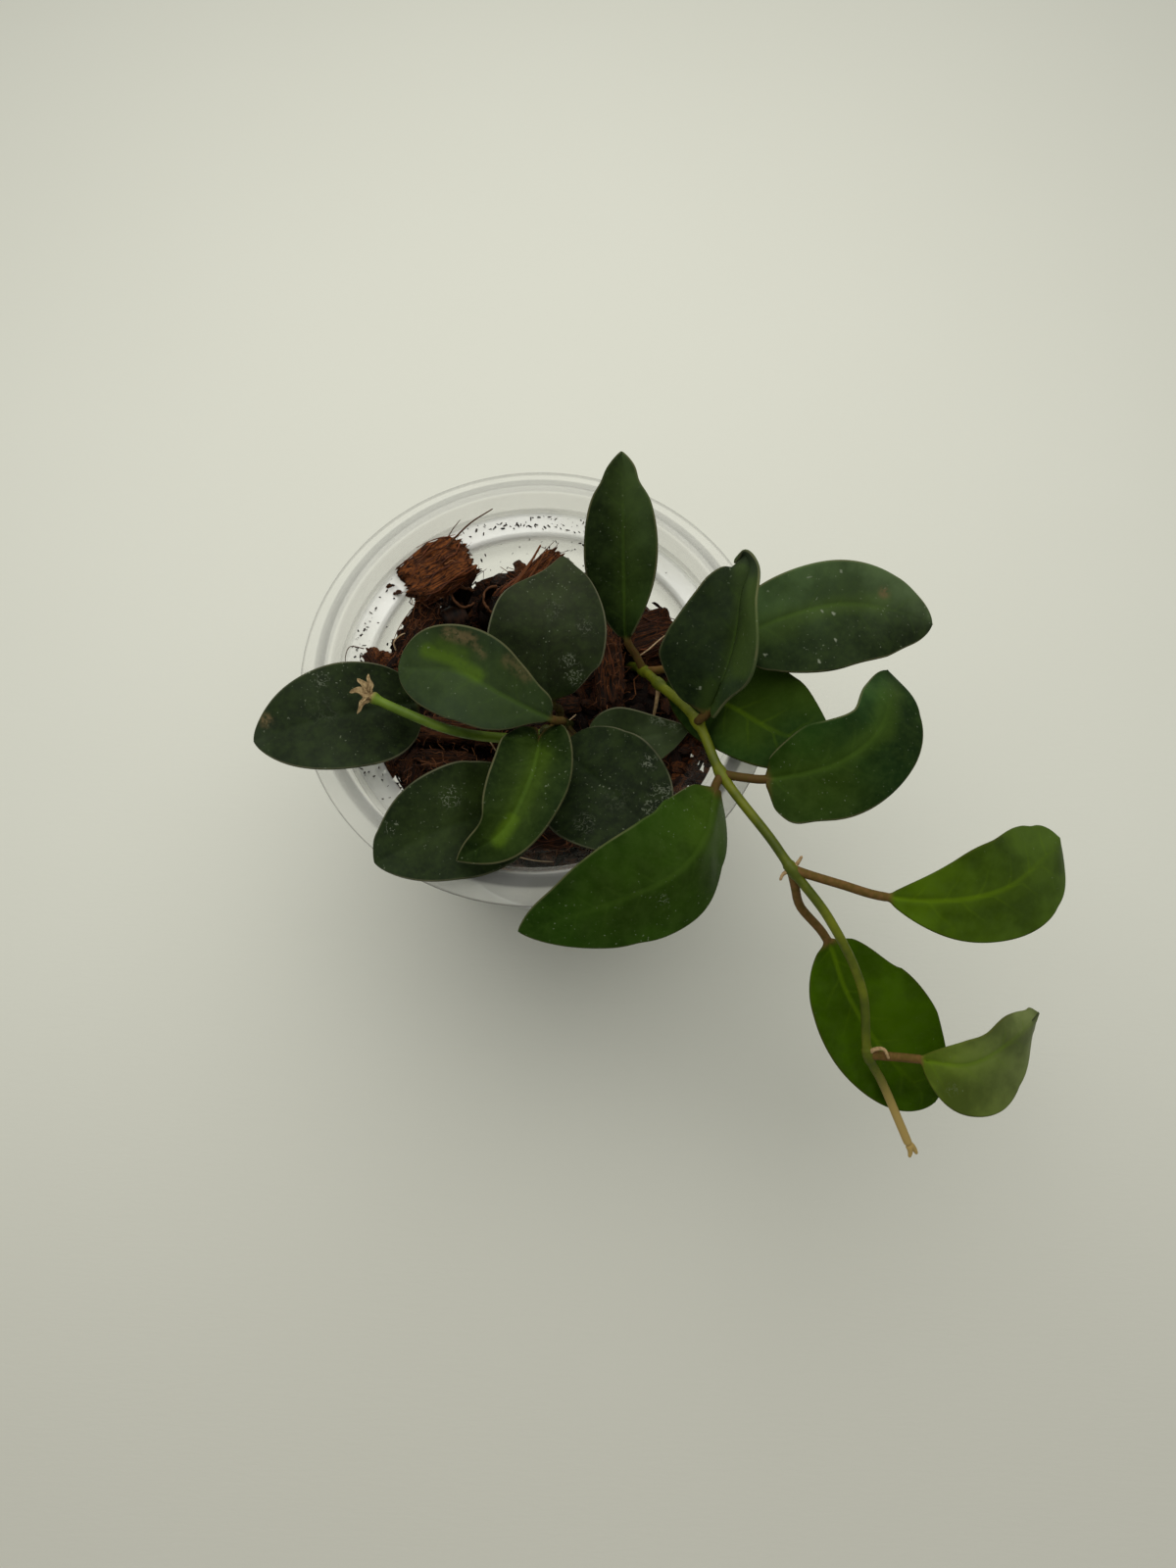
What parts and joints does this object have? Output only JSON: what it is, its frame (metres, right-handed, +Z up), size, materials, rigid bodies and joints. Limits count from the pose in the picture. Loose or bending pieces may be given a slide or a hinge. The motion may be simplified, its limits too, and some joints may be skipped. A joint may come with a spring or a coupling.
{
  "type": "potted hoya plant",
  "caption": "Small trailing hoya with thick leaves on a leaning vine, standing in coconut husk chips in a clear tapered nursery pot with a sloping lip.",
  "frame": {"origin": "middle of the pot's flat underside", "axes": "+Z up along the pot's axis; -Y is the front, towards the camera; the vine trails over the lip towards +X and -Y"},
  "size_m": [0.1723, 0.1594, 0.13],
  "materials": {
    "clear_plastic": "clear, slightly milky moulded plastic, smooth gloss",
    "husk_bedding": "matt, damp, dark brown broken coconut husk with loose fibres",
    "husk_chip": "matt, fibrous, reddish brown coconut husk",
    "husk_shell": "smooth, dark, slightly glossy curled shell",
    "stem": "satin, olive to lime green living stem",
    "flower_stalk": "satin, light green stalk with dry tan bracts at the tip",
    "leaf_old": "thick waxy leaf, satin, dark bluish green with pale mineral specks and a thin pale margin",
    "leaf_green": "thick waxy leaf, satin, dark to mid green with a thin pale margin",
    "leaf_young": "thick waxy leaf, satin, bright green with a thin pale margin"
  },
  "bodies": {
    "root": {"pot": "clear_plastic", "husk_chunk_back_left": "husk_chip", "husk_plate_left": "husk_chip", "husk_bundle_back": "husk_chip", "husk_strip_middle": "husk_chip", "husk_chip_left_edge": "husk_chip", "husk_chunk_middle": "husk_chip", "husk_chip_right": "husk_chip", "husk_strip_upper_left": "husk_chip", "husk_strip_lower_left": "husk_chip", "husk_chip_front_left": "husk_chip", "husk_chip_front": "husk_chip", "husk_chip_front_right": "husk_chip", "husk_shell_right": "husk_shell", "husk_shell_left": "husk_shell", "husk_bedding": "husk_bedding", "vine_stem": "stem", "inner_stem": "stem", "side_stem": "stem", "flower_stalk": "flower_stalk", "leaf_01_back": "leaf_green", "leaf_02_middle_back": "leaf_old", "leaf_03_middle_left": "leaf_green", "leaf_04_left": "leaf_old", "leaf_05_front_left": "leaf_old", "leaf_06_front_middle": "leaf_old", "leaf_07_front_striped": "leaf_green", "leaf_08_middle_small": "leaf_old", "leaf_09_front_large": "leaf_green", "leaf_10_curled_tip": "leaf_green", "leaf_11_right_large": "leaf_green", "leaf_12_right_lower": "leaf_young", "leaf_13_curved": "leaf_green", "leaf_14_far_right": "leaf_young", "leaf_15_hanging": "leaf_young", "leaf_16_vine_end": "leaf_young"}
  },
  "joints": []
}
